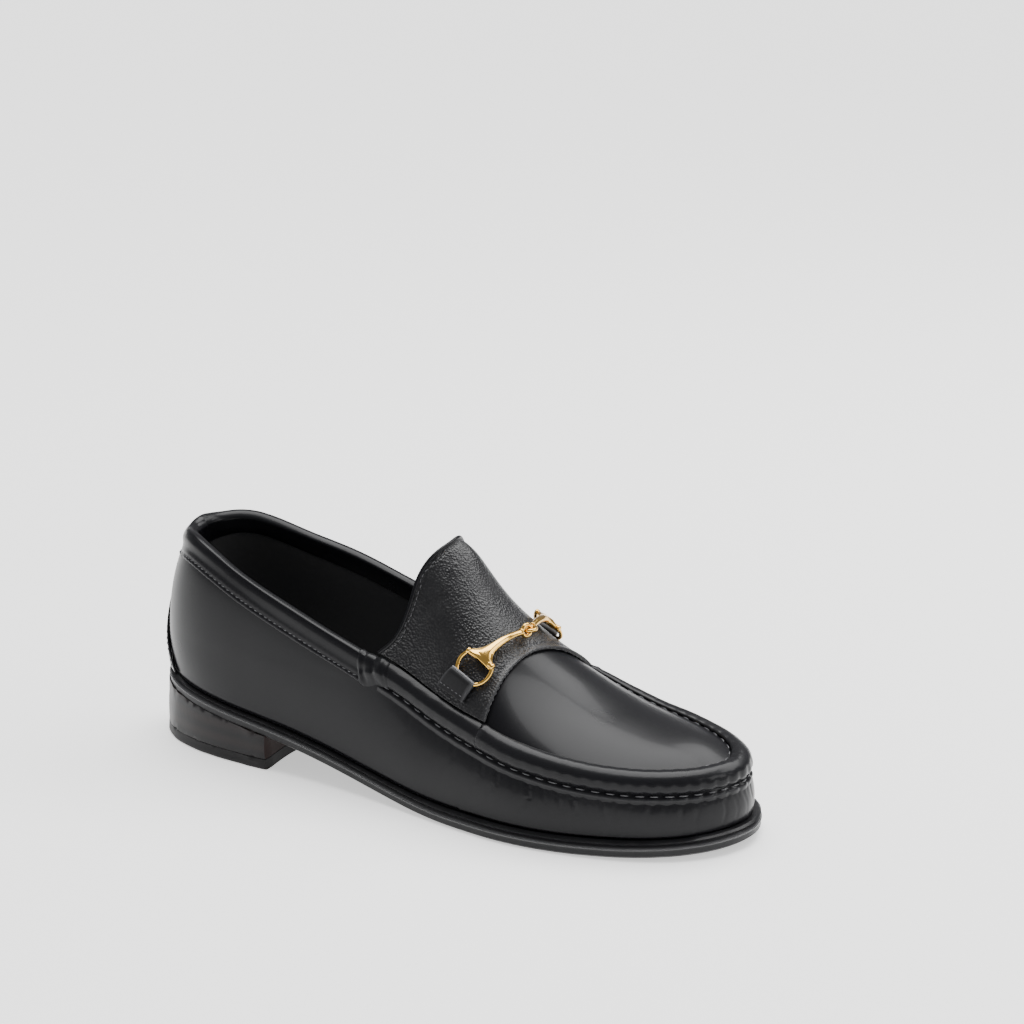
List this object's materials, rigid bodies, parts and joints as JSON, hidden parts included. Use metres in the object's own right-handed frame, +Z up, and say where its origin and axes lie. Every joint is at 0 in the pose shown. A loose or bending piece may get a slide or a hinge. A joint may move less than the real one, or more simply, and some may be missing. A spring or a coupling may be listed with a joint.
{
  "type": "bit loafer",
  "caption": "Men's slip-on bit loafer, right shoe: black leather upper with a rolled apron seam, a free tongue, a gilt bit held by leather loops, and a leather sole on a stacked heel.",
  "frame": {"origin": "on the floor under the middle of the shoe's box", "axes": "+X to the toe, +Y to the inner (medial) side, +Z up"},
  "size_m": [0.3026, 0.1027, 0.1115],
  "materials": {
    "black_calf": "smooth, waxed",
    "instep_calf": "fine pebbled grain, semi-gloss",
    "loop_calf": "matte",
    "lining_leather": "matte",
    "sole_leather": "waxed dark edge",
    "stacked_leather": "waxed dark edge",
    "heel_rubber": "matte",
    "gilt_metal": "polished"
  },
  "bodies": {
    "root": {"outsole": "sole_leather", "heel_block": "stacked_leather", "heel_top_lift": "heel_rubber", "insole": "lining_leather", "upper": "black_calf", "tongue": "instep_calf", "apron_roll_toe": "black_calf", "apron_roll_lateral": "black_calf", "apron_roll_medial": "black_calf", "collar_binding": "black_calf", "back_stay": "black_calf", "tab_lateral": "loop_calf", "tab_medial": "loop_calf", "bit_lateral": "gilt_metal", "bit_medial": "gilt_metal"}
  },
  "joints": []
}
